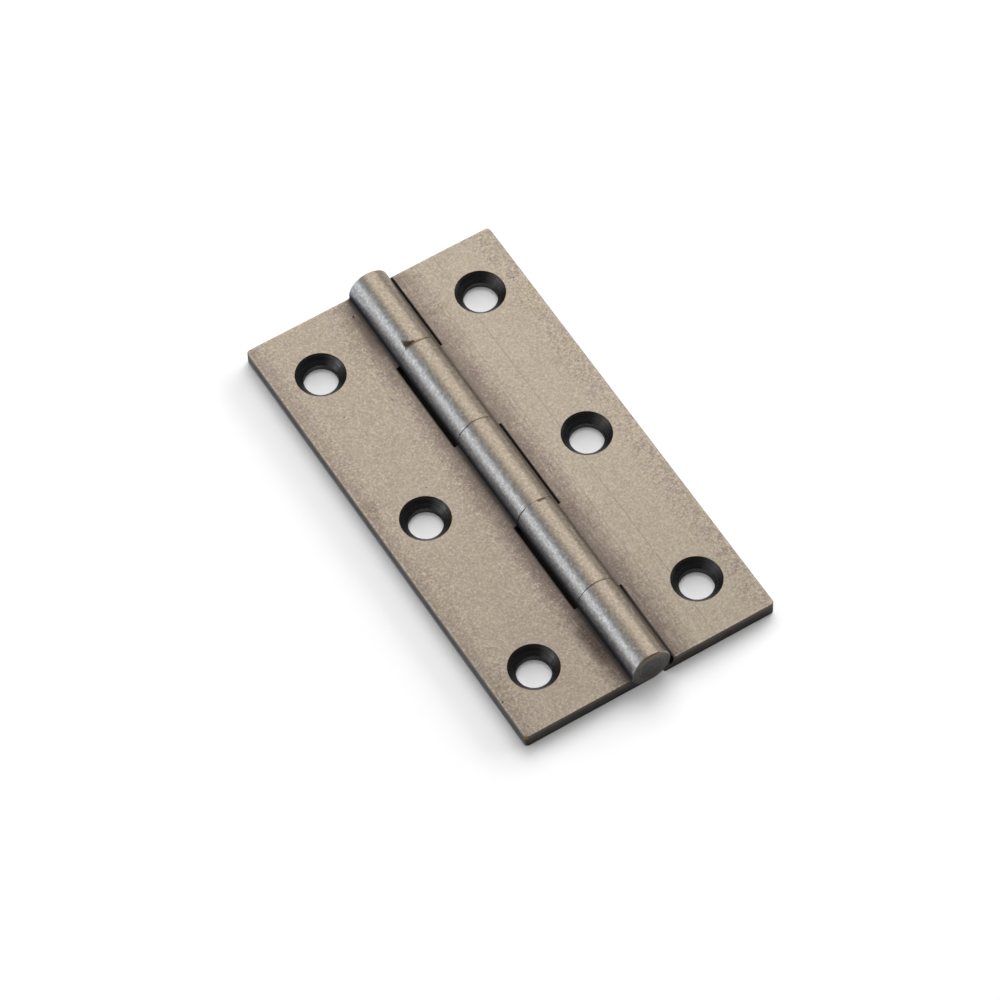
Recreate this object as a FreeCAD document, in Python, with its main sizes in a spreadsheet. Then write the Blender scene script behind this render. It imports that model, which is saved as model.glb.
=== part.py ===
import FreeCAD, Part
import os
import Sketcher

# Solid drawn butt hinge, lying open and flat, in millimetres.
# The origin is on the back plane, under the middle of the pin, which runs along Y.
# Each leaf is made lying on the -X side, and the two-knuckle leaf is then turned
# half round, so that the two face each other across the pin.

SIZES = {
    "leaf_length": 76.2,
    "open_width": 41.0,
    "leaf_thickness": 2.4,
    "corner_radius": 0.6,
    "edge_bevel": 0.12,
    "barrel_diameter": 6.4,
    "root_fillet": 0.4,
    "inner_knuckle_length": 16.0,
    "knuckle_end_play": 0.05,
    "left_notch_clearance": 0.55,
    "right_notch_clearance": 0.7,
    "notch_bevel": 0.2,
    "pin_diameter": 3.2,
    "pin_running_clearance": 0.05,
    "pin_head_diameter": 4.2,
    "pin_head_depth": 0.35,
    "hole_diameter": 5.1,
    "countersink_diameter": 7.5,
    "countersink_angle": 80.0,
    "hole_pitch": 28.9,
    "hole_row_distance": 13.45,
}
KNUCKLES = 5
HOLES_PER_LEAF = 3

# Formulas that more than one feature uses
HALF_LENGTH = "(sizes.leaf_length / 2)"
HALF_WIDTH = "(sizes.open_width / 2)"
BARREL_RADIUS = "(sizes.barrel_diameter / 2)"
PIN_RADIUS = "(sizes.pin_diameter / 2)"

# Where a sketch constraint takes hold: the origin, or a place on a line or an arc
ORIGIN = (-1, 1)
START, END, CENTRE = 1, 2, 3

# Edges flatter than this angle, in radians, are seams of one smooth surface
SEAM_ANGLE = 0.1

# How far beside an edge to look for material, and how closely a length counts as none
PROBE = 0.01
TOLERANCE = 0.0001


def add_sheet(doc):
    """Write each driving size in the sheet, with its name as the alias."""
    sheet = doc.addObject("Spreadsheet::Sheet", "sizes")
    for row, (alias, size) in enumerate(SIZES.items(), start=1):
        sheet.set(f"A{row}", alias)
        sheet.set(f"B{row}", str(size))
        sheet.setAlias(f"B{row}", alias)
    doc.recompute()


def number(item, formula):
    """Work out a formula of the sheet's sizes."""
    return float(item.evalExpression(formula))


def joint_place(joint):
    """Give the formula for where along Y a joint between two knuckles is."""
    return f"{joint - KNUCKLES / 2} * sizes.inner_knuckle_length"


class Outline:
    """A sketch on one of a body's own planes, held to the sheet's sizes."""

    def __init__(self, body, plane, name):
        self.sketch = body.newObject("Sketcher::SketchObject", name)
        self.sketch.AttachmentSupport = [(origin_item(body, plane), "")]
        self.sketch.MapMode = "FlatFace"

    def point(self, across, up):
        """Give the point whose two places are formulas or numbers."""
        return FreeCAD.Vector(number(self.sketch, str(across)), number(self.sketch, str(up)), 0)

    def line(self, first, last):
        """Draw a line between two points."""
        return self.sketch.addGeometry(Part.LineSegment(first, last), False)

    def arc(self, centre, first, last):
        """Draw an arc about a centre, anticlockwise from one point to another."""
        axis = FreeCAD.Vector(0, 0, 1)
        circle = Part.Circle(centre, axis, centre.distanceToPoint(first))
        turn = Part.ArcOfCircle(circle, circle.parameter(first), circle.parameter(last))
        return self.sketch.addGeometry(turn, False)

    def join(self, kind, *places):
        """Join two places, or set a line level or upright."""
        self.sketch.addConstraint(Sketcher.Constraint(kind, *places))

    def hold(self, kind, *places, to):
        """Hold a distance or a radius to a formula."""
        constraint = Sketcher.Constraint(kind, *places, number(self.sketch, to))
        index = self.sketch.addConstraint(constraint)
        self.sketch.setExpression(f"Constraints[{index}]", to)

    def polygon(self, corners):
        """Draw a closed outline through corners, each of two formulas."""
        points = [self.point(*corner) for corner in corners]
        lines = [self.line(*ends) for ends in zip(points, points[1:] + points[:1])]
        for line, following in zip(lines, lines[1:] + lines[:1]):
            self.join("Coincident", line, END, following, START)
        for line, (across, up) in zip(lines, corners):
            self.hold("DistanceX", *ORIGIN, line, START, to=across)
            self.hold("DistanceY", *ORIGIN, line, START, to=up)


def origin_item(body, role):
    """Find one of a body's own origin planes or axes."""
    return next(item for item in body.Origin.OriginFeatures if item.Role == role)


def outer_edges(shape):
    """Name the edges where two faces meet at an outward corner."""
    names = []
    for index, edge in enumerate(shape.Edges, start=1):
        faces = shape.ancestorsOfType(edge, Part.Face)
        if len(faces) != 2:
            continue
        middle = edge.valueAt((edge.FirstParameter + edge.LastParameter) / 2)
        first, second = [face.normalAt(*face.Surface.parameter(middle)) for face in faces]
        beside = middle + (first - second) * PROBE
        is_corner = first.getAngle(second) > SEAM_ANGLE
        if is_corner and not shape.isInside(beside, TOLERANCE, False):
            names.append(f"Edge{index}")
    return names


def dress_edges(body, kind, label, names, measure, size):
    """Round or bevel the named edges of the body as it stands, to a size of the sheet."""
    base = body.Tip
    feature = body.newObject(kind, label)
    feature.Base = (base, names)
    feature.setExpression(measure, size)
    body.Document.recompute()


def groove(body, outline, label):
    """Cut an outline, turned about the pin's axis, out of the body."""
    volume = body.Tip.Shape.Volume
    cut = body.newObject("PartDesign::Groove", label)
    cut.Profile = outline.sketch
    cut.ReferenceAxis = (outline.sketch, ["H_Axis"])
    body.Document.recompute()
    if cut.Shape.Volume >= volume:
        raise RuntimeError(f"{label} cuts nothing")


def pin_line_outline(body, name):
    """Start a sketch whose level axis is the pin's axis."""
    outline = Outline(body, "YZ_Plane", name)
    outline.sketch.setExpression("AttachmentOffset.Base.y", BARREL_RADIUS)
    return outline


def drawn_bar(body):
    """Draw the flat leaf and its barrel as one section, and run it along the pin."""
    outline = Outline(body, "XZ_Plane", "bar_section")
    rise = f"(sizes.leaf_thickness + sizes.root_fillet - {BARREL_RADIUS})"
    reach = f"sqrt(({BARREL_RADIUS} + sizes.root_fillet) ^ 2 - {rise} ^ 2)"
    under_pin = outline.point(0, 0)
    back_edge = outline.point(f"-{HALF_WIDTH}", 0)
    front_edge = outline.point(f"-{HALF_WIDTH}", "sizes.leaf_thickness")
    front_root = outline.point(f"-{reach}", "sizes.leaf_thickness")
    barrel_centre = outline.point(0, BARREL_RADIUS)
    root_centre = outline.point(f"-{reach}", f"{BARREL_RADIUS} + {rise}")
    share = f"{BARREL_RADIUS} / ({BARREL_RADIUS} + sizes.root_fillet)"
    barrel_root = outline.point(f"-{reach} * {share}", f"{BARREL_RADIUS} + {rise} * {share}")

    back = outline.line(back_edge, under_pin)
    barrel = outline.arc(barrel_centre, under_pin, barrel_root)
    root = outline.arc(root_centre, front_root, barrel_root)
    front = outline.line(front_root, front_edge)
    side = outline.line(front_edge, back_edge)

    outline.join("Coincident", back, END, *ORIGIN)
    outline.join("Tangent", back, END, barrel, START)
    outline.join("Tangent", barrel, END, root, END)
    outline.join("Tangent", root, START, front, START)
    outline.join("Coincident", front, END, side, START)
    outline.join("Coincident", side, END, back, START)
    outline.join("Horizontal", back)
    outline.join("Horizontal", front)
    outline.join("Vertical", side)
    outline.hold("Radius", barrel, to=BARREL_RADIUS)
    outline.hold("Radius", root, to="sizes.root_fillet")
    outline.hold("DistanceX", *ORIGIN, side, END, to=f"-{HALF_WIDTH}")
    outline.hold("DistanceY", *ORIGIN, side, START, to="sizes.leaf_thickness")

    bar = body.newObject("PartDesign::Pad", "drawn_bar")
    bar.Profile = outline.sketch
    bar.Midplane = True
    bar.setExpression("Length", "sizes.leaf_length")
    body.Document.recompute()


def round_corners(body):
    """Round the two free corners of the leaf, as seen from its front."""
    shape = body.Tip.Shape
    names = []
    for name in outer_edges(shape):
        edge = shape.getElement(name)
        upright = edge.tangentAt(edge.FirstParameter).cross(FreeCAD.Vector(0, 0, 1))
        if upright.Length < TOLERANCE:
            names.append(name)
    dress_edges(body, "PartDesign::Fillet", "corners", names, "Radius", "sizes.corner_radius")


def bevel_edges(body):
    """Break the bar's outward edges. The notches come later, so that the knuckles' joints stay crisp."""
    names = outer_edges(body.Tip.Shape)
    dress_edges(body, "PartDesign::Chamfer", "worn_edges", names, "Size", "sizes.edge_bevel")


def bevel_notches(body):
    """Bevel the front edge that each notch leaves along the leaf."""
    shape = body.Tip.Shape
    front = number(body, "sizes.leaf_thickness")
    worn = number(body, f"{HALF_WIDTH} - sizes.edge_bevel")
    names = []
    for name in outer_edges(shape):
        edge = shape.getElement(name)
        middle = edge.BoundBox.Center
        on_front = abs(middle.z - front) < TOLERANCE and edge.BoundBox.ZLength < TOLERANCE
        if on_front and edge.BoundBox.XLength < TOLERANCE and middle.x > TOLERANCE - worn:
            names.append(name)
    dress_edges(body, "PartDesign::Chamfer", "notch_bevels", names, "Size", "sizes.notch_bevel")


def scoop_notches(body, first_taken, clearance):
    """Scoop out round the pin's axis what the other leaf's knuckles take up."""
    outline = pin_line_outline(body, "notch_outlines")
    play = "sizes.knuckle_end_play / 2"
    radius = f"({BARREL_RADIUS} + {clearance})"
    overrun = f"({HALF_LENGTH} + {radius})"
    for knuckle in range(first_taken, KNUCKLES, 2):
        low = f"{joint_place(knuckle)} - {play}"
        high = f"{joint_place(knuckle + 1)} + {play}"
        if knuckle == 0:
            low = f"-{overrun}"
        if knuckle == KNUCKLES - 1:
            high = overrun
        outline.polygon([(low, "0"), (high, "0"), (high, radius), (low, radius)])
    groove(body, outline, "knuckle_notches")


def pin_outline(outline):
    """Draw half of the pin's section: a shank, spread into a head at each end."""
    shank = f"({HALF_LENGTH} - sizes.pin_head_depth)"
    head_radius = "sizes.pin_head_diameter / 2"
    outline.polygon([
        (f"-{HALF_LENGTH}", "0"),
        (HALF_LENGTH, "0"),
        (HALF_LENGTH, head_radius),
        (shank, PIN_RADIUS),
        (f"-{shank}", PIN_RADIUS),
        (f"-{HALF_LENGTH}", head_radius),
    ])


def fast_seat(body):
    """Bore the knuckles that hold the pin fast, to the pin's own outline."""
    outline = pin_line_outline(body, "pin_seat_outline")
    pin_outline(outline)
    groove(body, outline, "pin_seat")


def running_bore(body):
    """Bore the knuckles that turn on the pin, with the running clearance."""
    outline = pin_line_outline(body, "running_bore_outline")
    bore = f"{PIN_RADIUS} + sizes.pin_running_clearance"
    low = f"-{HALF_LENGTH}"
    outline.polygon([(low, "0"), (HALF_LENGTH, "0"), (HALF_LENGTH, bore), (low, bore)])
    groove(body, outline, "running_bore")


def screw_holes(body):
    """Drill and countersink the row of screw holes from the leaf's front face."""
    doc = body.Document
    outline = Outline(body, "XY_Plane", "hole_centre")
    outline.sketch.setExpression("AttachmentOffset.Base.z", "sizes.leaf_thickness")
    first_hole = f"-sizes.hole_pitch * {(HOLES_PER_LEAF - 1) / 2}"
    centre = outline.point("-sizes.hole_row_distance", first_hole)
    axis = FreeCAD.Vector(0, 0, 1)
    radius = number(outline.sketch, "sizes.hole_diameter / 2")
    circle = outline.sketch.addGeometry(Part.Circle(centre, axis, radius), False)
    outline.hold("Diameter", circle, to="sizes.hole_diameter")
    outline.hold("DistanceX", *ORIGIN, circle, CENTRE, to="-sizes.hole_row_distance")
    outline.hold("DistanceY", *ORIGIN, circle, CENTRE, to=first_hole)
    doc.recompute()

    hole = body.newObject("PartDesign::Hole", "screw_hole")
    hole.Profile = outline.sketch
    hole.DepthType = "ThroughAll"
    hole.HoleCutType = "Countersink"
    hole.HoleCutCustomValues = True
    hole.setExpression("Diameter", "sizes.hole_diameter")
    hole.setExpression("HoleCutDiameter", "sizes.countersink_diameter")
    hole.setExpression("HoleCutCountersinkAngle", "sizes.countersink_angle")
    doc.recompute()

    row = body.newObject("PartDesign::LinearPattern", "screw_hole_row")
    row.Originals = [hole]
    row.Direction = (origin_item(body, "Y_Axis"), [""])
    row.Occurrences = HOLES_PER_LEAF
    row.setExpression("Length", f"sizes.hole_pitch * {HOLES_PER_LEAF - 1}")
    body.Tip = row
    doc.recompute()


def make_leaf(doc, label, first_taken, clearance, bore):
    """Make a leaf on the -X side, notched for the other leaf and bored for the pin."""
    body = doc.addObject("PartDesign::Body", label)
    drawn_bar(body)
    round_corners(body)
    bevel_edges(body)
    scoop_notches(body, first_taken, clearance)
    bevel_notches(body)
    bore(body)
    screw_holes(body)
    return body


def make_pin(doc):
    """Turn the pin, with both ends spread to fill their seats."""
    body = doc.addObject("PartDesign::Body", "hinge_pin")
    outline = pin_line_outline(body, "pin_section")
    pin_outline(outline)
    turned = body.newObject("PartDesign::Revolution", "turned_pin")
    turned.Profile = outline.sketch
    turned.ReferenceAxis = (outline.sketch, ["H_Axis"])
    doc.recompute()
    return body


def export(doc, bodies):
    """Check every object and every shape, then write each body to its own file."""
    for item in doc.Objects:
        if {"Invalid", "Error"} & set(item.State):
            raise RuntimeError(f"{item.Name} failed: {item.State}")
    for body in bodies:
        shape = body.Shape
        if shape.isNull() or not shape.isValid() or len(shape.Solids) != 1:
            raise RuntimeError(f"{body.Label} isn't one valid solid")
    os.makedirs("parts", exist_ok=True)
    for body in bodies:
        body.Shape.exportStep(f"parts/{body.Label}.step")
        print(f"{body.Label}: {body.Shape.Volume:.2f} cubic mm, {len(body.Shape.Faces)} faces")


doc = FreeCAD.newDocument("butt_hinge")
add_sheet(doc)
left_clearance, right_clearance = "sizes.left_notch_clearance", "sizes.right_notch_clearance"
three_knuckle_leaf = make_leaf(doc, "three_knuckle_leaf", 1, left_clearance, fast_seat)
two_knuckle_leaf = make_leaf(doc, "two_knuckle_leaf", 0, right_clearance, running_bore)
half_turn = FreeCAD.Rotation(FreeCAD.Vector(0, 0, 1), 180)
two_knuckle_leaf.Placement = FreeCAD.Placement(FreeCAD.Vector(), half_turn)
hinge_pin = make_pin(doc)
doc.recompute()
export(doc, [three_knuckle_leaf, two_knuckle_leaf, hinge_pin])
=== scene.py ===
"""Finish, floor, light and camera for a solid drawn butt hinge that lies open and flat."""

import logging
import math
from dataclasses import dataclass
from enum import Enum

import bpy
from mathutils import Matrix, Vector


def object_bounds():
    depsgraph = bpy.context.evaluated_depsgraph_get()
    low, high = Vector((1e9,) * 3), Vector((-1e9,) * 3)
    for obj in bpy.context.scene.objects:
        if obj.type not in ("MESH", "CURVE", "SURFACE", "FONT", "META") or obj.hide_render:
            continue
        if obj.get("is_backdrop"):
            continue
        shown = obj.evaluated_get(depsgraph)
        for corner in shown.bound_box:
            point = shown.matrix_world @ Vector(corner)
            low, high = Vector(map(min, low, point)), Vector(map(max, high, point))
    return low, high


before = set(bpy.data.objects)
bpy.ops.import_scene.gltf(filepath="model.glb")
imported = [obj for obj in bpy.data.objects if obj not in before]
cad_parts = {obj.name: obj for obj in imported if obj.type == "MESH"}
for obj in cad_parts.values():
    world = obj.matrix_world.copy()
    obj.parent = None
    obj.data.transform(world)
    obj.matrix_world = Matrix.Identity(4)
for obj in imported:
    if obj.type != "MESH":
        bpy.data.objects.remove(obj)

LOG = logging.getLogger("hinge")

Colour = tuple[float, float, float]

MM = 0.001
WHITE: Colour = (1.0, 1.0, 1.0)
NOISE_MEAN = 0.5

# The curve by which a screen shows light.
SCREEN_WHITE = 255
CURVE_KNEE = 0.04045
CURVE_SLOPE = 12.92
CURVE_LIFT = 0.055
CURVE_POWER = 2.4

# The sockets that the Mix node uses for colours.
MIX_SHARE, MIX_FIRST, MIX_SECOND, MIX_RESULT = 0, 6, 7, 2


def srgb(red: int, green: int, blue: int) -> Colour:
    """Turn a colour as a screen shows it, 0 to 255, into light values.

    Args:
        red: The red part.
        green: The green part.
        blue: The blue part.

    Returns:
        The linear colour that shows as those parts.
    """
    def linear(part: int) -> float:
        """Undo the screen's curve on one part."""
        share = part / SCREEN_WHITE
        if share <= CURVE_KNEE:
            return share / CURVE_SLOPE
        return ((share + CURVE_LIFT) / (1 + CURVE_LIFT)) ** CURVE_POWER

    return linear(red), linear(green), linear(blue)


class Value:
    """A number that changes over a surface, and the sums that can be done with it."""

    def __init__(self, graph: "Graph", socket: bpy.types.NodeSocket) -> None:
        """Wrap a socket of the graph."""
        self.graph = graph
        self.socket = socket

    def sum(self, operation: str, *others: "Value | float", clamp: bool = False) -> "Value":
        """Add a Math node.

        Args:
            operation: The Math node's operation.
            others: What stands in its second and third sockets.
            clamp: Whether the result stays from 0 to 1.

        Returns:
            The node's result.
        """
        settings = {"operation": operation, "use_clamp": clamp}
        return self.graph.value("ShaderNodeMath", settings, dict(enumerate((self, *others))))

    def __add__(self, other: "Value | float") -> "Value":
        """Add."""
        return self.sum("ADD", other)

    __radd__ = __add__

    def __mul__(self, other: "Value | float") -> "Value":
        """Multiply."""
        return self.sum("MULTIPLY", other)

    __rmul__ = __mul__

    def __sub__(self, other: "Value | float") -> "Value":
        """Take the other away."""
        return self.sum("SUBTRACT", other)

    def __rsub__(self, other: float) -> "Value":
        """Take this away from a number."""
        return self * -1.0 + other

    def __truediv__(self, other: "Value | float") -> "Value":
        """Divide."""
        return self.sum("DIVIDE", other)

    def __abs__(self) -> "Value":
        """Drop the sign."""
        return self.sum("ABSOLUTE")

    def __and__(self, other: "Value | float") -> "Value":
        """Keep what both masks cover."""
        return self.sum("MULTIPLY", other, clamp=True)

    def __or__(self, other: "Value | float") -> "Value":
        """Keep what either mask covers."""
        return self.sum("MAXIMUM", other)

    def root(self) -> "Value":
        """Take the square root."""
        return self.sum("SQRT")

    def swing(self, reach: float) -> "Value":
        """Turn noise into a swing to either side of nought, by about a quarter of the reach."""
        return (self - NOISE_MEAN) * reach

    def ramp(self, low: float, high: float, start: float = 0.0, end: float = 1.0) -> "Value":
        """Rise smoothly from one number to another as this goes from low to high.

        Args:
            low: Where the rise starts. It may be above high, which turns the rise round.
            high: Where it ends.
            start: The result before it.
            end: The result after it.

        Returns:
            The risen number.
        """
        if low > high:
            low, high, start, end = high, low, end, start
        sockets = {"Value": self, "From Min": low, "From Max": high, "To Min": start, "To Max": end}
        return self.graph.value("ShaderNodeMapRange", {"interpolation_type": "SMOOTHSTEP"}, sockets)

    def between(self, low: float, high: float, edge: float = 0.1) -> "Value":
        """Give the mask of where this lies between two numbers, with soft edges outside them."""
        return self.ramp(low - edge, low) & self.ramp(high + edge, high)


def length(*parts: Value) -> Value:
    """Work out how long a line is.

    Args:
        parts: The line's parts at right angles.

    Returns:
        The length.
    """
    total = parts[0] * parts[0]
    for part in parts[1:]:
        total = total + part * part
    return total.root()


class Tint:
    """A colour that changes over a surface."""

    def __init__(self, graph: "Graph", socket: bpy.types.NodeSocket) -> None:
        """Wrap a socket of the graph."""
        self.graph = graph
        self.socket = socket

    def blend(self, how: str, other: "Tint | Colour", share: Value | float) -> "Tint":
        """Mix another colour in.

        Args:
            how: The Mix node's way of blending.
            other: The colour that comes in.
            share: How much of it, from 0 to 1.

        Returns:
            The mixed colour.
        """
        settings = {"data_type": "RGBA", "blend_type": how}
        other = other if isinstance(other, Tint) else (*other, 1.0)
        sockets = {MIX_SHARE: share, MIX_FIRST: self, MIX_SECOND: other}
        return Tint(self.graph, self.graph.node("ShaderNodeMix", settings, sockets).outputs[MIX_RESULT])

    def to(self, other: "Tint | Colour", share: Value | float) -> "Tint":
        """Go over to another colour by a share."""
        return self.blend("MIX", other, share)

    def __mul__(self, level: Value) -> "Tint":
        """Make lighter or darker by a level that changes over the surface."""
        grey = self.graph.node("ShaderNodeCombineColor", {}, {0: level, 1: level, 2: level})
        return self.blend("MULTIPLY", Tint(self.graph, grey.outputs[0]), 1.0)


class Graph:
    """The node tree of a material or of the world."""

    def __init__(self, tree: bpy.types.NodeTree) -> None:
        """Start from an empty tree."""
        self.tree = tree
        tree.nodes.clear()

    def node(
        self, kind: str, settings: dict | None = None, sockets: dict | None = None
    ) -> bpy.types.Node:
        """Add a node of any kind.

        Args:
            kind: The node's type name.
            settings: What is set on the node itself, before its sockets.
            sockets: By name or number, the value or the wrapped link of each socket.

        Returns:
            The node.
        """
        made = self.tree.nodes.new(kind)
        for name, setting in (settings or {}).items():
            setattr(made, name, setting)
        for name, given in (sockets or {}).items():
            socket = made.inputs[name]
            source = getattr(given, "socket", given)
            if isinstance(source, bpy.types.NodeSocket):
                self.tree.links.new(source, socket)
            else:
                socket.default_value = source
        return made

    def value(self, kind: str, settings: dict | None = None, sockets: dict | None = None) -> Value:
        """Add a node and wrap its first result."""
        return Value(self, self.node(kind, settings, sockets).outputs[0])

    def tint(self, colour: Colour) -> Tint:
        """Start a chain of colours from a plain one.

        Args:
            colour: The plain colour.

        Returns:
            The start of the chain.
        """
        made = self.node("ShaderNodeRGB")
        made.outputs[0].default_value = (*colour, 1.0)
        return Tint(self, made.outputs[0])

    def noise(
        self, at: bpy.types.NodeSocket, per_mm: float, detail: float = 3.0, rough: float = 0.55
    ) -> Value:
        """Add even noise, from about 0.25 to 0.75.

        Args:
            at: The place, in millimetres.
            per_mm: How many grains there are in a millimetre.
            detail: How many finer layers it has.
            rough: How strong the finer layers are.

        Returns:
            The noise.
        """
        sockets = {"Vector": at, "Scale": per_mm, "Detail": detail, "Roughness": rough}
        return self.value("ShaderNodeTexNoise", {"noise_dimensions": "3D"}, sockets)

    def vector(self, x: Value | float, y: Value | float, z: Value | float) -> bpy.types.NodeSocket:
        """Put three numbers together as a place."""
        return self.node("ShaderNodeCombineXYZ", {}, {0: x, 1: y, 2: z}).outputs[0]

    def parts(self, vector: bpy.types.NodeSocket) -> list[Value]:
        """Take a place apart into three numbers."""
        split = self.node("ShaderNodeSeparateXYZ", {}, {0: vector})
        return [Value(self, output) for output in split.outputs]


def new_material(name: str) -> tuple[bpy.types.Material, Graph]:
    """Make an empty material.

    Args:
        name: Its name.

    Returns:
        The material and the graph of its nodes.
    """
    made = bpy.data.materials.new(name)
    made.use_nodes = True
    return made, Graph(made.node_tree)


def put_in_scene(name: str, data: bpy.types.ID) -> bpy.types.Object:
    """Make an object and add it to the scene.

    Args:
        name: Its name.
        data: The mesh, lamp or camera that it shows.

    Returns:
        The object.
    """
    made = bpy.data.objects.new(name, data)
    bpy.context.scene.collection.objects.link(made)
    return made


@dataclass(frozen=True)
class HingeSizes:
    """The hinge's sizes in millimetres, read from the imported model where it gives them.

    The barrel stands on the floor, so its radius is the pin's height too. The root is what lies
    beside the barrel on a leaf, and reaches root_reach from it. A notch reaches notch_reach.
    """

    half_length: float
    half_width: float
    barrel_radius: float
    leaf_top: float = 2.4
    bevel_foot: float = 2.21
    hole_row: float = 13.45
    hole_pitch: float = 28.9
    sink_radius: float = 3.75
    knuckles: int = 5
    inner_knuckle: float = 16.0
    joint_play: float = 0.05
    root_reach: float = 1.4
    notch_reach: float = 1.0

    @classmethod
    def from_frame(cls) -> "HingeSizes":
        """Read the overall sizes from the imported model."""
        _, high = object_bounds()
        return cls(high.y / MM, high.x / MM, high.z / MM / 2)

    def joint(self, number: int) -> float:
        """Give where along the pin a joint between two knuckles is, from 1 at the near end."""
        return (number - self.knuckles / 2) * self.inner_knuckle


class Side(Enum):
    """Which way a leaf lies from the pin."""

    LEFT = -1.0
    RIGHT = 1.0


@dataclass(frozen=True)
class Patch:
    """A soft patch on a leaf, with its middle and its half sizes in millimetres."""

    x: float
    y: float
    wide: float
    long: float
    strength: float


class Form:
    """What a material knows about where it is on the hinge.

    Places are in millimetres, turns about the pin are in degrees from the barrel's top, and
    what the surface is part of is a mask from 0 to 1.
    """

    def __init__(self, graph: Graph, sizes: HingeSizes, side: Side) -> None:
        """Read the place and the way the surface faces, and work out the masks.

        Args:
            graph: The material's graph.
            sizes: The hinge's sizes.
            side: Which leaf it is.
        """
        coords = graph.node("ShaderNodeTexCoord")
        in_mm = {0: coords.outputs["Object"], "Scale": 1 / MM}
        radius = sizes.barrel_radius
        half_knuckle = sizes.inner_knuckle / 2
        self.graph = graph
        self.sizes = sizes
        self.at = graph.node("ShaderNodeVectorMath", {"operation": "SCALE"}, in_mm).outputs[0]
        self.x, self.y, self.z = graph.parts(self.at)
        self.face_x, self.face_y, _ = graph.parts(coords.outputs["Normal"])

        self.out = self.x * side.value
        above_pin = self.z - radius
        self.from_pin = length(self.x, above_pin)
        self.turn = self.x.sum("ARCTAN2", above_pin) * math.degrees(1)
        self.from_joint = (self.y - half_knuckle).sum("WRAP", half_knuckle, -half_knuckle)
        off_row = self.out - sizes.hole_row
        off_hole = self.y.sum("WRAP", sizes.hole_pitch / 2, -sizes.hole_pitch / 2)
        self.from_hole = length(off_row, off_hole)
        self.hole_turn = off_hole.sum("ARCTAN2", off_row)

        self.end = abs(self.face_y).ramp(0.75, 0.95)
        self.barrel = self.from_pin.ramp(radius + 0.1, radius + 0.04)
        self.leaf = 1 - self.barrel
        self.root = self.from_pin.ramp(radius + sizes.root_reach, radius - 0.1) & self.leaf
        self.front = self.z.ramp(sizes.leaf_top - 0.03, sizes.leaf_top - 0.01)
        self.rear = self.z.ramp(0.03, 0.01)
        inward = (sizes.half_width - self.out).sum("MINIMUM", sizes.half_length - abs(self.y))
        self.rim = inward.ramp(0.45, 0.15)
        in_sink = self.from_hole.ramp(sizes.sink_radius + 0.02, sizes.sink_radius - 0.02)
        self.sink = in_sink & self.z.ramp(0.01, 0.04)

        from_outer = abs(abs(self.y) - sizes.inner_knuckle)
        keeps_outer = from_outer.ramp(half_knuckle, half_knuckle + sizes.joint_play)
        notched = 1 - keeps_outer if side is Side.LEFT else keeps_outer
        notch = radius + sizes.notch_reach
        beside = notched & self.from_pin.ramp(notch, notch - 0.05) & (1 - self.end) & self.leaf
        foot = sizes.bevel_foot
        self.hollow = beside & self.z.ramp(foot + 0.04, foot - 0.04) & self.z.ramp(0.02, 0.1)
        self.bevel = beside & self.z.ramp(foot - 0.04, foot)

    def patch(self, place: Patch, wander: Value) -> Value:
        """Give the mask of a soft patch.

        Args:
            place: The patch.
            wander: Noise that breaks its edge.

        Returns:
            The mask, up to the patch's strength.
        """
        across = (self.x - place.x) / place.wide
        along = (self.y - place.y) / place.long
        return (length(across, along) + wander).ramp(1.3, 0.3, 0.0, place.strength)


@dataclass(frozen=True)
class Chip:
    """A chipped place on a knuckle's edge, beside a joint.

    It runs round the barrel between two angles from its top, in degrees. Its reach from the
    joint is in millimetres, and way is 1 where it lies beyond the joint and -1 before it.
    """

    joint: int
    way: float
    start: float
    end: float
    reach: float
    reach_at_end: float
    bare: Colour
    # Painted shade along the chip's broken edge, round the bare metal.
    rim: Colour


@dataclass(frozen=True)
class Sheen:
    """How rough and how metallic a leaf's surfaces are, and how high their grain stands.

    A polish is what it takes off the roughness. The skin's cover is what the dark skin takes
    off the metal, and a sink is barer than that by sink_bare. The bump's depth is in millimetres.
    """

    rubbed_rough: float = 0.46
    barrel_polish: float = 0.17
    skin_rough: float = 0.42
    sink_polish: float = 0.14
    grain_rough: float = 0.12
    skin_cover: float = 0.4
    sink_bare: float = 0.33
    leaf_grain: float = 0.7
    barrel_grain: float = 1.4
    ring_grain: float = 1.2
    bump_strength: float = 0.35
    bump_depth: float = 0.02
    edge_tint: tuple[float, float, float, float] = (0.42, 0.42, 0.44, 1.0)


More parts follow.
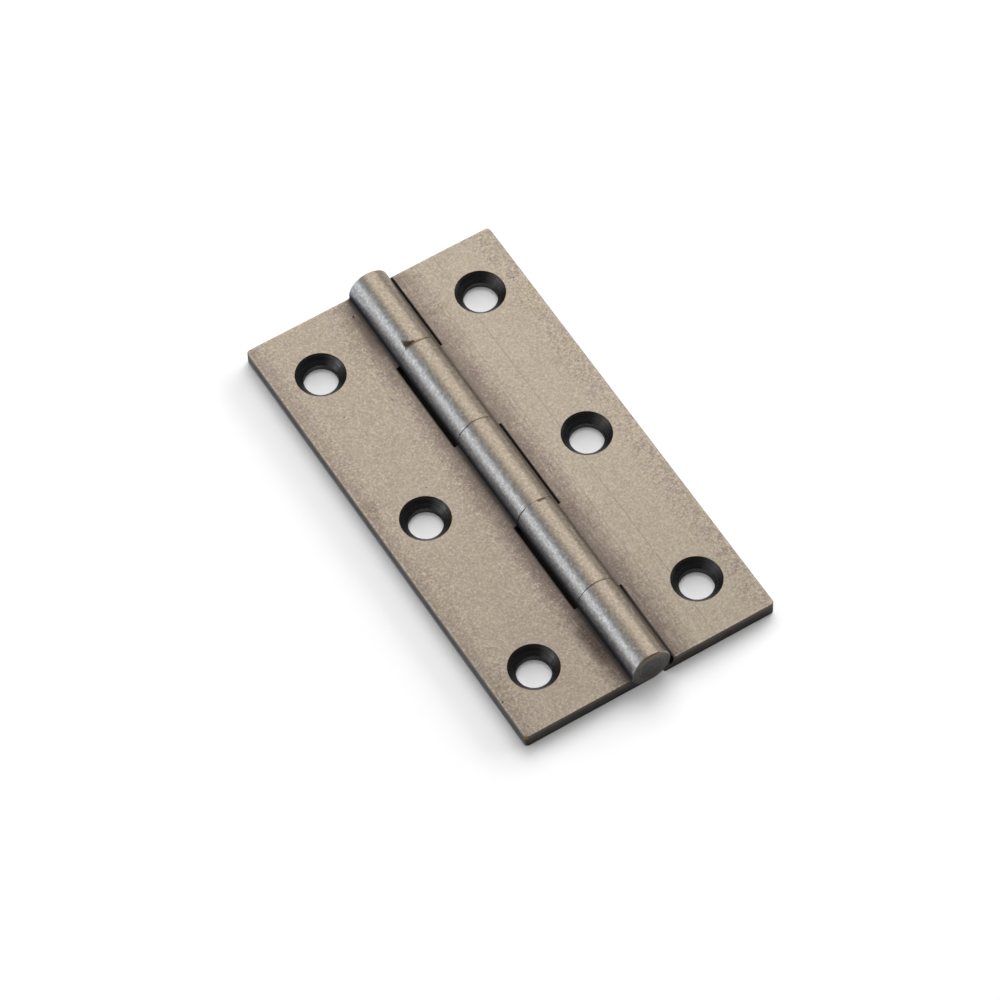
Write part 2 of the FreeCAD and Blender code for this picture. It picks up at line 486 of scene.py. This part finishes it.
@dataclass(frozen=True)
class AgedBrass:
    """Drawn brass, darkened all over and then rubbed back on its faces.

    Each draw line is a place from the pin and a strength. The dusk beside the barrel, tarnish and painted
    shade from the barrel, goes out to dusk_reach, with the strengths of root_dusk at the far and at the
    near end, and edge_dusk is the dusk's strength along the outer edge. near_shade is how light the near
    end is beside the rest, and bevel_painted_shade is the painted shade that blackens the notches' bevels.
    """

    side: Side
    rubbed: Colour = srgb(182, 169, 154)
    rubbed_light: Colour = srgb(220, 208, 191)
    rubbed_dark: Colour = srgb(142, 130, 117)
    olive: Colour = srgb(184, 174, 151)
    rose: Colour = srgb(179, 164, 157)
    dusk: Colour = srgb(122, 108, 103)
    rust: Colour = srgb(72, 58, 49)
    barrel_rubbed: Colour = srgb(170, 158, 143)
    barrel_light: Colour = srgb(200, 188, 171)
    barrel_dark: Colour = srgb(136, 124, 113)
    # Painted cooler light on the barrel's left flank, with lighter and darker flecks in it.
    painted_cool_flank: Colour = srgb(162, 160, 158)
    painted_cool_fleck_light: Colour = srgb(203, 199, 195)
    painted_cool_fleck_dark: Colour = srgb(124, 122, 121)
    barrel_shade: Colour = srgb(146, 154, 168)
    # Painted light on the barrel's right flank, lighter and cooler than its top.
    painted_light_right_flank: Colour = srgb(184, 177, 173)
    barrel_skin: Colour = srgb(48, 50, 54)
    low_skin: Colour = srgb(66, 67, 70)
    back_skin: Colour = srgb(132, 122, 110)
    end_skin: Colour = srgb(102, 99, 95)
    end_brown: Colour = srgb(124, 107, 89)
    patina: Colour = srgb(90, 88, 86)
    # Painted light on the sides that face left, and painted shade on those that face the near end.
    painted_lit_left_patina: Colour = srgb(105, 104, 105)
    painted_shaded_near_patina: Colour = srgb(78, 75, 73)
    # Real wear on the sides' upper edges, and a painted reflection of the floor low on the sides.
    edge_wear_and_floor_reflection: Colour = srgb(152, 140, 124)
    # A painted reflection of the floor low on the sides that face left.
    painted_floor_reflection: Colour = srgb(164, 163, 165)
    # Black pits and patina in the hollows, and painted shade in the root beside the barrel, on the
    # notches' bevels and low on the near faces.
    black: Colour = srgb(34, 31, 29)
    # Painted light low in the notches.
    painted_notch_light: Colour = srgb(150, 140, 128)
    sink_black: Colour = srgb(82, 81, 81)
    brass: Colour = srgb(156, 134, 78)
    joint_line: Colour = srgb(96, 86, 68)
    sheen: Sheen = Sheen()
    dusks: tuple[Patch, ...] = ()
    rusts: tuple[Patch, ...] = ()
    scuffs: tuple[Patch, ...] = ()
    pits: tuple[Patch, ...] = ()
    bares: tuple[Patch, ...] = ()
    chips: tuple[Chip, ...] = ()
    draw_lines: tuple[tuple[float, float], ...] = ()
    streaks: float = 0.0
    dusk_reach: float = 7.4
    root_dusk: tuple[float, float] = (0.6, 0.9)
    edge_dusk: float = 0.0
    bevel_painted_shade: float = 0.0
    near_shade: float = 0.9

    def material(self, name: str, sizes: HingeSizes) -> bpy.types.Material:
        """Make the finish of one leaf.

        Args:
            name: The material's name.
            sizes: The hinge's sizes.

        Returns:
            The material.
        """
        made, graph = new_material(name)
        form = Form(graph, sizes, self.side)
        cloud = graph.noise(form.at, 0.16, 4.0, 0.6)
        mottle = graph.noise(form.at, 0.9, 3.0, 0.6)
        speckle = graph.noise(form.at, 2.8, 4.0, 0.85)
        rubbed = self.rubbing(form, speckle)
        bright = self.face_tone(form, cloud, mottle, speckle)
        bright = bright.to(self.barrel_tone(form, mottle, speckle), form.barrel)
        tone = self.dark_tone(form, mottle).to(bright, rubbed)
        for chip in self.chips:
            tone = self.chipped(form, chip, tone, speckle)
        for place in self.bares:
            spot = form.patch(place, speckle.swing(1.0)) * speckle.ramp(0.36, 0.48)
            tone = tone.to(self.brass, spot * form.z.ramp(1.6, 2.0))

        sheen, skin = self.sheen, 1 - rubbed
        rough = rubbed * (sheen.rubbed_rough - form.barrel * sheen.barrel_polish)
        rough = rough + skin * (sheen.skin_rough - form.sink * sheen.sink_polish)
        height = speckle * (sheen.leaf_grain + form.barrel * sheen.barrel_grain)
        height = height + self.sink_rings(form) * form.sink * sheen.ring_grain
        bump = graph.node("ShaderNodeBump", {}, {
            "Strength": sheen.bump_strength, "Distance": sheen.bump_depth * MM, "Height": height,
        })
        shader = graph.node("ShaderNodeBsdfPrincipled", {}, {
            "Base Color": tone,
            "Metallic": 1 - skin * (sheen.skin_cover - form.sink * sheen.sink_bare),
            "Roughness": rough + speckle.swing(sheen.grain_rough),
            "Normal": bump.outputs[0],
            "Specular IOR Level": 0.0,
            "Specular Tint": sheen.edge_tint,
        })
        graph.node("ShaderNodeOutputMaterial", {}, {"Surface": shader.outputs[0]})
        return made

    def painted_bevel_shade_mask(self, form: Form) -> Value:
        """Give the painted shade that blackens a notch's bevel, fading out toward the near end."""
        return form.bevel * form.y.ramp(-30.0, -23.0) * self.bevel_painted_shade

    def rubbing(self, form: Form, speckle: Value) -> Value:
        """Work out how far the dark skin is rubbed off: on the front, and where the barrel stands out.

        Args:
            form: Where the material is.
            speckle: Noise that breaks the edge of the rubbed part of the barrel.

        Returns:
            The share of the skin that is off.
        """
        flat = (form.front | form.rear * 0.85) & form.leaf & (1 - form.sink)
        # The root beside the barrel keeps its dark skin as a painted contact shadow, and the notches'
        # bevels keep it as painted shade.
        flat = flat & (1 - self.painted_bevel_shade_mask(form)) & (1 - form.root * 0.95)
        upper = (form.z + speckle.swing(0.8)).ramp(3.0, 4.9)
        return flat | (form.barrel & upper & (1 - form.end * 0.95))

    def face_tone(self, form: Form, cloud: Value, mottle: Value, speckle: Value) -> Tint:
        """Give the mottled colour of the leaf's rubbed front.

        Args:
            form: Where the material is.
            cloud: Noise of several millimetres.
            mottle: Noise of about a millimetre.
            speckle: Noise of a quarter of a millimetre.

        Returns:
            The colour.
        """
        hue = form.graph.noise(form.at, 0.45, 2.0, 0.6)
        fine_hue = form.graph.noise(form.at, 1.7, 2.0, 0.7)
        borders = form.out.ramp(9.0, 5.0) | form.out.ramp(16.0, 18.5)
        tone = form.graph.tint(self.rubbed)
        for colour, mask, share, more_at_borders in (
            (self.olive, hue.ramp(0.48, 0.66), 0.12, 0.6),
            (self.rose, hue.ramp(0.52, 0.34), 0.12, 0.85),
            (self.olive, fine_hue.ramp(0.5, 0.64), 0.0, 0.6),
            (self.rose, fine_hue.ramp(0.5, 0.36), 0.0, 0.8),
            (self.rubbed_dark, cloud.ramp(0.5, 0.3), 0.12, 0.0),
            (self.rubbed_light, cloud.ramp(0.5, 0.7), 0.08, 0.0),
            (self.rubbed_dark, mottle.ramp(0.5, 0.25), 0.16, 0.2),
            (self.rubbed_light, mottle.ramp(0.5, 0.75), 0.16, 0.0),
            (self.rubbed_dark, speckle.ramp(0.5, 0.34), 0.42, 0.22),
            (self.rubbed_light, speckle.ramp(0.5, 0.66), 0.8, 0.08),
            (self.rubbed_light, self.hairlines(form), 0.45, 0.0),
        ):
            tone = tone.to(colour, mask * (borders * more_at_borders + share))

        wander = mottle.swing(1.3) + cloud.swing(1.6) + speckle.swing(1.2)
        tone = tone.to(self.dusk, self.dusk_share(form, wander))
        tone = tone.to(self.rubbed_light, borders * speckle.ramp(0.53, 0.66) * 0.38)
        tone = tone.to(self.rubbed_dark, borders * speckle.ramp(0.47, 0.34) * 0.55)
        rusty_edge = form.out.ramp(18.6, 20.2) * speckle.ramp(0.42, 0.3)
        tone = tone.to(self.rust, rusty_edge * self.edge_dusk)
        # Lighter speckle along the outer edges: wear, and a painted highlight on the broken edge.
        tone = tone.to(self.rubbed_light, form.rim * speckle.ramp(0.4, 0.6) * 0.5)
        for place in self.rusts:
            tone = tone.to(self.rust, form.patch(place, wander * 0.5) * speckle.ramp(0.36, 0.56))
        for place in self.scuffs:
            tone = tone.to(self.rubbed_light, form.patch(place, wander) * speckle.ramp(0.5, 0.62))
        tone = self.drawn(form, tone, cloud, mottle)
        for place in self.pits:
            tone = tone.to(self.black, form.patch(place, speckle.swing(2.0)))
        tone = tone.to(self.black, self.scattered_pits(form))
        return tone * form.y.ramp(8.0, -38.0, 1.0, self.near_shade)

    def dusk_share(self, form: Form, wander: Value) -> Value:
        """Work out how much of the front is dusky: beside the barrel, along the outer edge and in patches.

        Args:
            form: Where the material is.
            wander: Noise that breaks the edges.

        Returns:
            The share.
        """
        # Beside the barrel the dusk is purple-grey tarnish and painted shade from the barrel.
        beside = (form.out + wander * 1.2).ramp(self.dusk_reach, 3.6)
        beside = beside * form.y.ramp(38.0, -38.0, *self.root_dusk)
        share = beside | ((form.out + wander).ramp(17.6, 20.5) * self.edge_dusk)
        for place in self.dusks:
            share = share | form.patch(place, wander)
        return share

    def drawn(self, form: Form, tone: Tint, cloud: Value, mottle: Value) -> Tint:
        """Add the fine lines that drawing left along the leaf.

        Args:
            form: Where the material is.
            tone: The colour so far.
            cloud: Noise that bends the lines.
            mottle: Noise that breaks them.

        Returns:
            The colour with the lines.
        """
        for place, strength in self.draw_lines:
            off = abs(form.x + cloud.swing(0.15) - place)
            line = off.ramp(0.1, 0.02) * mottle.ramp(0.35, 0.55, 0.1, strength)
            tone = tone.to(self.rubbed_dark, line)
        along = form.graph.vector(form.x, form.y * 0.03, 0.0)
        streak = form.graph.noise(along, 8.0, 3.0, 0.7)
        share = form.out.ramp(9.0, 6.5) & cloud.ramp(0.42, 0.6) * self.streaks
        tone = tone.to(self.dusk, streak.ramp(0.5, 0.35) * share)
        return tone.to(self.rubbed_light, streak.ramp(0.5, 0.65) * share)

    def hairlines(self, form: Form) -> Value:
        """Scatter short hairline scratches that lie in two slanting directions.

        Args:
            form: Where the material is.

        Returns:
            The scratches' mask.
        """
        marks = []
        for slant in (0.55, -0.9):
            across = form.x * math.cos(slant) + form.y * math.sin(slant)
            along = form.y * math.cos(slant) - form.x * math.sin(slant)
            at = form.graph.vector(across * 5.0, along * 0.7, slant)
            marks.append(form.graph.noise(at, 1.0, 1.0, 0.5).ramp(0.66, 0.74))
        return marks[0] | marks[1]

    def scattered_pits(self, form: Form) -> Value:
        """Scatter a few tiny black pits.

        Args:
            form: Where the material is.

        Returns:
            The pits' mask.
        """
        cells = form.graph.node("ShaderNodeTexVoronoi", {}, {"Vector": form.at, "Scale": 0.3})
        pick = form.graph.parts(cells.outputs["Color"])[0]
        from_middle = Value(form.graph, cells.outputs["Distance"])
        return from_middle.ramp(0.05, 0.02) * pick.ramp(0.55, 0.6) * 0.8

    def barrel_tone(self, form: Form, mottle: Value, speckle: Value) -> Tint:
        """Give the rubbed barrel's colour, smoother than the leaf, with painted light that is cooler on
        its left flank.

        Args:
            form: Where the material is.
            mottle: Noise of about a millimetre.
            speckle: Noise of a quarter of a millimetre.

        Returns:
            The colour.
        """
        fleck = form.graph.noise(form.at, 2.2, 4.0, 0.75)
        # Where the painted cooler light lies on the barrel's left flank.
        cool = form.turn.ramp(-12.0, -28.0)
        light = form.graph.tint(self.barrel_light).to(self.painted_cool_fleck_light, cool)
        dark = form.graph.tint(self.barrel_dark).to(self.painted_cool_fleck_dark, cool)
        tone = form.graph.tint(self.barrel_rubbed)
        # By the turn about the pin these paint light and shade: cooler light on the left flank, shade
        # lower on it, a band of shade near 40 degrees and light on the right flank. The flecks and pits
        # after them are grain.
        for colour, share in (
            (self.painted_cool_flank, cool),
            (self.barrel_shade, form.turn.ramp(-54.0, -70.0)),
            (self.barrel_dark, form.turn.between(37.0, 43.0, 5.0) * 0.45),
            (self.painted_light_right_flank, form.turn.ramp(43.0, 54.0)),
            (light, fleck.ramp(0.5, 0.62) * 0.68),
            (dark, fleck.ramp(0.5, 0.36) * 0.45),
            (light, speckle.ramp(0.52, 0.62) * 0.42),
            (dark, speckle.ramp(0.47, 0.36) * 0.25),
            (self.black, self.scattered_pits(form) * 0.7),
        ):
            tone = tone.to(colour, share)
        olive_line = abs(form.from_joint).ramp(0.12, 0.06) * mottle.ramp(0.4, 0.55)
        return tone.to(self.joint_line, olive_line * form.turn.ramp(-30.0, -10.0) * 0.5)

    def dark_tone(self, form: Form, mottle: Value) -> Tint:
        """Give the dark skin's colour: worn on the upper edges, black in the hollows, with painted light
        and shade.

        Args:
            form: Where the material is.
            mottle: Noise of about a millimetre.

        Returns:
            The colour.
        """
        off_root = form.leaf & (1 - form.root)
        # Which way a side faces sets its painted light and shade: lighter toward the left, darker toward
        # the near end.
        near = form.face_y.ramp(-0.3, -0.7)
        left = form.face_x.ramp(-0.6, -0.9) & off_root
        # The lower part of the sides, which a painted floor reflection lightens, and which painted shade
        # darkens on the near faces.
        foot = form.z.ramp(1.1, 0.3) * form.leaf
        edge = form.z.ramp(1.2, form.sizes.leaf_top) & off_root
        skin = form.graph.tint(self.patina).to(self.painted_lit_left_patina, left).to(self.painted_shaded_near_patina, near)
        skin = skin.to(self.barrel_skin_tone(form, mottle), form.barrel)
        skin = skin * mottle.ramp(0.3, 0.7, 0.85, 1.15)
        # Real wear lightens the upper edges, less so on the near faces, where that is painted shade. The
        # rest is painted light and shade: the floor's reflection low on the sides, shade low on the near
        # faces, on the notches' bevels and in the root along the barrel, and light low in the notches.
        # Black in the hollows is patina.
        for colour, share in (
            (self.edge_wear_and_floor_reflection, foot * (1 - near) * (1 - left) * 0.4),
            (self.painted_floor_reflection, foot * left * form.y.ramp(-38.0, -12.0, 0.45, 1.0)),
            (self.black, foot * near * 0.35),
            (self.edge_wear_and_floor_reflection, edge * edge * (0.57 - near * 0.2)),
            (self.black, self.painted_bevel_shade_mask(form)),
            (self.black, form.hollow | (form.root * form.z.ramp(2.36, 2.42))),
            (self.painted_notch_light, form.hollow * form.z.ramp(1.3, 0.8) * 0.6),
            (self.sink_tone(form), form.sink),
        ):
            skin = skin.to(colour, share)
        return skin

    def barrel_skin_tone(self, form: Form, mottle: Value) -> Tint:
        """Give the colour of the dark skin round the barrel and on its ends.

        Args:
            form: Where the material is.
            mottle: Noise of about a millimetre.

        Returns:
            The colour.
        """
        browned = form.turn.ramp(-70.0, -10.0) & form.turn.ramp(75.0, 20.0)
        browned = browned & form.from_pin.ramp(2.2, 2.9)
        end = form.graph.tint(self.end_skin)
        end = end.to(self.end_brown, browned * mottle.ramp(0.3, 0.6, 0.5, 1.0))
        low = form.turn.ramp(-85.0, -92.0) & form.turn.ramp(-125.0, -110.0)
        back = (abs(form.turn) + mottle.swing(60.0)).ramp(105.0, 150.0)
        skin = form.graph.tint(self.barrel_skin).to(self.low_skin, low).to(self.back_skin, back)
        return skin.to(end, form.end)

    def sink_tone(self, form: Form) -> Tint:
        """Give the colour of a countersink, with fine rings and rust on the lower part of its rim.

        Args:
            form: Where the material is.

        Returns:
            The colour.
        """
        radius = form.sizes.sink_radius
        rim = form.from_hole.ramp(radius - 0.6, radius - 0.15)
        lower = form.hole_turn.sum("SINE").ramp(0.3, -0.6)
        rings = self.sink_rings(form).ramp(0.35, 0.65, 0.62, 1.5)
        return form.graph.tint(self.sink_black).to(self.rust, rim * lower * 0.8) * rings

    def sink_rings(self, form: Form) -> Value:
        """Give the fine rings that the countersinking tool left."""
        at = form.graph.vector(form.from_hole * 9.0, form.hole_turn * 0.35, 0.0)
        return form.graph.noise(at, 1.0, 2.0, 0.6)

    def chipped(self, form: Form, chip: Chip, tone: Tint, speckle: Value) -> Tint:
        """Show bare metal where a knuckle's edge is chipped.

        Args:
            form: Where the material is.
            chip: The chipped place.
            tone: The colour so far.
            speckle: Noise that breaks its edge.

        Returns:
            The colour with the chip.
        """
        beyond = (form.y - form.sizes.joint(chip.joint)) * chip.way
        reach = form.turn.ramp(chip.start, chip.end, chip.reach, chip.reach_at_end)
        depth = beyond / reach + speckle.swing(1.2)
        span = form.turn.between(chip.start, chip.end, 4.0)
        mask = span & depth.ramp(1.05, 0.8) & beyond.ramp(-0.02, 0.0) & form.barrel
        # The rim is painted shade along the broken edge; inside it the bare metal shows.
        tone = tone.to(chip.rim, mask * 0.85)
        return tone.to(chip.bare, mask & depth.ramp(0.75, 0.55))


@dataclass(frozen=True)
class PinSteel:
    """The pin, finished flush and darkened with the leaves."""

    face: Colour = srgb(73, 71, 70)
    copper: Colour = srgb(128, 104, 82)
    worn: Colour = srgb(110, 108, 105)
    metallic: float = 0.8
    roughness: float = 0.4
    mottle_rough: float = 0.2

    def material(self, name: str, sizes: HingeSizes) -> bpy.types.Material:
        """Make the pin's finish.

        Args:
            name: The material's name.
            sizes: The hinge's sizes.

        Returns:
            The material.
        """
        made, graph = new_material(name)
        form = Form(graph, sizes, Side.LEFT)
        mottle = graph.noise(form.at, 1.4, 4.0, 0.6)
        round_pin = graph.vector(form.from_pin * 4.5, abs(form.turn) * 0.003, 0.0)
        rings = graph.noise(round_pin, 1.0, 2.0, 0.6)
        tone = graph.tint(self.face) * mottle.ramp(0.3, 0.7, 0.75, 1.25)
        tone = tone * rings.ramp(0.35, 0.65, 0.65, 1.35)
        top = form.turn.ramp(-40.0, -10.0) & form.turn.ramp(50.0, 20.0)
        top = top & form.from_pin.ramp(1.8, 2.0)
        tone = tone.to(self.copper, top * mottle.ramp(0.35, 0.55) * 0.5)
        left = form.turn.ramp(-120.0, -100.0) & form.turn.ramp(-45.0, -65.0)
        tone = tone.to(self.worn, form.from_pin.between(1.72, 1.86) * left * 0.5)
        shader = graph.node("ShaderNodeBsdfPrincipled", {}, {
            "Base Color": tone,
            "Metallic": self.metallic,
            "Roughness": mottle.swing(self.mottle_rough) + self.roughness,
            "Specular IOR Level": 0.0,
        })
        graph.node("ShaderNodeOutputMaterial", {}, {"Surface": shader.outputs[0]})
        return made


@dataclass
class Hinge:
    """The three pieces of the hinge, which stay as the imported model gives them."""

    sizes: HingeSizes
    left: AgedBrass = AgedBrass(
        side=Side.LEFT,
        dusks=(
            Patch(-19.8, 7.0, 1.6, 5.0, 0.45),
            Patch(-19.6, -31.0, 1.2, 4.0, 0.3),
        ),
        rusts=(
            Patch(-4.2, -30.0, 1.7, 6.6, 0.8),
            Patch(-4.3, 31.0, 0.7, 5.0, 0.5),
        ),
        pits=(
            Patch(-4.3, 35.0, 0.2, 0.3, 0.9),
            Patch(-4.1, 33.6, 0.15, 0.2, 0.7),
            Patch(-20.1, -31.4, 0.2, 0.2, 0.8),
        ),
        bares=(Patch(-20.3, -37.85, 0.36, 0.32, 0.8),),
        chips=(
            # This first one is a dark brown patch that reaches farther from the joint than the brass chip
            # after it.
            Chip(4, 1.0, -34.0, -8.0, 1.6, 0.6, srgb(76, 64, 54), srgb(62, 52, 44)),
            Chip(4, 1.0, -37.0, 37.0, 0.36, 0.15, srgb(132, 118, 90), srgb(70, 58, 46)),
        ),
        streaks=0.2,
        root_dusk=(0.7, 1.0),
        edge_dusk=0.35,
    )
    right: AgedBrass = AgedBrass(
        side=Side.RIGHT,
        rubbed=srgb(188, 176, 160),
        dusks=(
            Patch(5.5, -6.0, 1.8, 9.0, 0.45),
            Patch(6.0, -31.0, 2.2, 5.0, 0.35),
            Patch(5.2, 31.0, 2.2, 6.0, 0.3),
        ),
        scuffs=(Patch(8.0, -6.5, 1.6, 7.0, 0.8),),
        chips=(
            Chip(2, -1.0, 4.0, 24.0, 0.5, 0.3, srgb(112, 86, 70), srgb(78, 56, 46)),
            Chip(2, -1.0, -90.0, -38.0, 0.2, 0.16, srgb(38, 38, 40), srgb(38, 38, 40)),
            Chip(3, 1.0, -62.0, 20.0, 0.12, 0.14, srgb(66, 56, 48), srgb(66, 56, 48)),
            Chip(3, 1.0, -16.0, 22.0, 0.24, 0.14, srgb(146, 128, 92), srgb(80, 66, 52)),
            Chip(1, 1.0, -15.0, 25.0, 0.18, 0.12, srgb(130, 116, 90), srgb(92, 80, 64)),
            Chip(1, 1.0, -75.0, -15.0, 0.1, 0.1, srgb(70, 66, 62), srgb(70, 66, 62)),
        ),
        draw_lines=((10.85, 0.6), (9.4, 0.2), (7.7, 0.45), (7.1, 0.35)),
        streaks=0.3,
        dusk_reach=8.4,
        root_dusk=(0.75, 0.95),
        bevel_painted_shade=0.85,
    )
    pin: PinSteel = PinSteel()

    def dress(self) -> None:
        """Give each piece its finish."""
        finishes = {
            "three_knuckle_leaf": self.left.material("three_knuckle_finish", self.sizes),
            "two_knuckle_leaf": self.right.material("two_knuckle_finish", self.sizes),
            "hinge_pin": self.pin.material("pin_finish", self.sizes),
        }
        for node, finish in finishes.items():
            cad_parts[node].material_slots[0].material = finish
            LOG.info("%s wears %s", node, finish.name)


@dataclass(frozen=True)
class Softbox:
    """A soft lamp that faces the hinge, with lengths in metres and angles in degrees.

    What metal shows of its face, and what it sheds on matt things, have levels of their own,
    where 1 is white.
    """

    name: str
    azimuth: float
    elevation: float
    width: float
    height: float
    shown: float
    shed: float
    colour: Colour
    distance: float = 0.9

    def build(self) -> None:
        """Hang the lamp, once for metal and once for matt things."""
        turn, rise = math.radians(self.azimuth), math.radians(self.elevation)
        level = math.cos(rise)
        toward = Vector((math.cos(turn) * level, math.sin(turn) * level, math.sin(rise)))
        for use, radiance, colour in (("shown", self.shown, self.colour), ("shed", self.shed, WHITE)):
            data = bpy.data.lights.new(f"{self.name}_{use}", "AREA")
            data.shape = "RECTANGLE"
            data.size, data.size_y = self.width, self.height
            data.energy = radiance * math.pi * self.width * self.height
            data.color = colour
            lamp = put_in_scene(data.name, data)
            lamp.location = toward * self.distance
            lamp.rotation_mode = "QUATERNION"
            lamp.rotation_quaternion = (-toward).to_track_quat("-Z", "Y")
            lamp.visible_camera = False
            lamp.visible_glossy = use == "shown"
            lamp.visible_diffuse = use == "shed"
        LOG.info("lamp %s hung", self.name)


@dataclass
class Studio:
    """A pale floor, the lamps and the world.

    The world's shown levels are what metal mirrors, and its shed level is the light from above.
    The levels change between the two numbers of front_to_back and of side_to_above, which are
    how far a unit step toward the world goes to the back or up.
    """

    floor_half: float = 3.0
    floor_albedo: float = 0.8
    floor_lift: float = 0.055
    world_shown: float = 0.62
    world_shown_in_front: float = 0.08
    world_shed_from_above: float = 1.35
    front_to_back: tuple[float, float] = (-0.6, -0.1)
    side_to_above: tuple[float, float] = (0.78, 0.94)
    lamps: tuple[Softbox, ...] = (
        Softbox("warm_softbox", 55.0, 47.0, 0.95, 0.7, 0.8, 6.1, (1.0, 0.97, 0.92)),
        Softbox("cool_strip", 146.0, 22.5, 0.85, 0.47, 1.15, 2.8, (0.86, 0.92, 1.0)),
        Softbox("side_softbox", 8.0, 14.0, 1.35, 0.44, 0.05, 8.4, WHITE),
    )

    def path(self, graph: Graph) -> tuple[Value, Value]:
        """Mark the camera's rays, and those that come off metal or through glass.

        Args:
            graph: The graph that asks.

        Returns:
            The two marks.
        """
        rays = graph.node("ShaderNodeLightPath")
        kinds = ("Is Camera Ray", "Is Glossy Ray", "Is Transmission Ray")
        camera, glossy, through = (Value(graph, rays.outputs[kind]) for kind in kinds)
        return camera, glossy | through

    def floor(self) -> None:
        """Lay the floor under the hinge, near white to the eye and in metal, with the shadow on it."""
        mesh = bpy.data.meshes.new("floor")
        reach = self.floor_half
        corners = [(-reach, -reach, 0), (reach, -reach, 0), (reach, reach, 0), (-reach, reach, 0)]
        mesh.from_pydata(corners, [], [(0, 1, 2, 3)])
        floor = put_in_scene("floor", mesh)
        floor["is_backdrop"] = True
        paper, graph = new_material("white_paper")
        camera, mirror = self.path(graph)
        grey = (self.floor_albedo,) * 3 + (1.0,)
        matt = graph.value("ShaderNodeBsdfDiffuse", {}, {"Color": grey})
        glow = graph.value("ShaderNodeEmission", {}, {"Strength": (camera | mirror) * self.floor_lift})
        both = graph.value("ShaderNodeAddShader", {}, {0: matt, 1: glow})
        graph.node("ShaderNodeOutputMaterial", {}, {"Surface": both})
        mesh.materials.append(paper)
        LOG.info("floor laid")

    def world(self) -> None:
        """Make the world: white to the eye, pale in metal but dim in front, and a light from above."""
        world = bpy.data.worlds.new("studio")
        bpy.context.scene.world = world
        world.use_nodes = True
        graph = Graph(world.node_tree)
        camera, mirror = self.path(graph)
        toward = graph.node("ShaderNodeTexCoord").outputs["Generated"]
        _, back, up = graph.parts(toward)
        shown = back.ramp(*self.front_to_back, self.world_shown_in_front, self.world_shown)
        shed = up.ramp(*self.side_to_above, 0.0, self.world_shed_from_above)
        strength = camera | ((1 - camera) * (mirror * shown + (1 - mirror) * shed))
        sky = graph.value("ShaderNodeBackground", {}, {"Strength": strength})
        graph.node("ShaderNodeOutputWorld", {}, {"Surface": sky})
        LOG.info("world made")

    def build(self) -> None:
        """Set up the floor, the world and the lamps."""
        self.floor()
        self.world()
        for lamp in self.lamps:
            lamp.build()


@dataclass(frozen=True)
class PhotoCamera:
    """The camera at the photograph's place, with lengths in metres and angles in degrees."""

    target: tuple[float, float, float] = (-0.002155, -0.001648, -0.000068)
    distance: float = 0.82769
    azimuth: float = -30.29
    elevation: float = 57.362
    roll: float = -1.741
    lens: float = 210.07
    clip_ratio: float = 100.0

    def build(self) -> None:
        """Set the camera up."""
        angles = (self.azimuth, self.elevation, self.roll)
        turn, rise, roll = (math.radians(angle) for angle in angles)
        run = math.cos(rise)
        back = Vector((math.sin(turn) * run, -math.cos(turn) * run, math.sin(rise)))
        level = Vector((math.cos(turn), math.sin(turn), 0.0))
        right = level * math.cos(roll) + back.cross(level) * math.sin(roll)
        axes = Matrix((right, back.cross(right), back)).transposed().to_4x4()
        data = bpy.data.cameras.new("camera")
        data.lens = self.lens
        data.clip_start = self.distance / self.clip_ratio
        data.clip_end = self.distance * self.clip_ratio
        camera = put_in_scene("camera", data)
        camera.matrix_world = Matrix.Translation(Vector(self.target) + back * self.distance) @ axes
        bpy.context.scene.camera = camera
        LOG.info("camera set")


def main() -> None:
    """Dress the hinge and build the studio round it."""
    logging.basicConfig(level=logging.INFO, format="%(name)s: %(message)s")
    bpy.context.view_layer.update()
    bpy.context.scene.view_settings.view_transform = "Standard"
    Hinge(HingeSizes.from_frame()).dress()
    Studio().build()
    PhotoCamera().build()


if __name__ == "__main__":
    main()
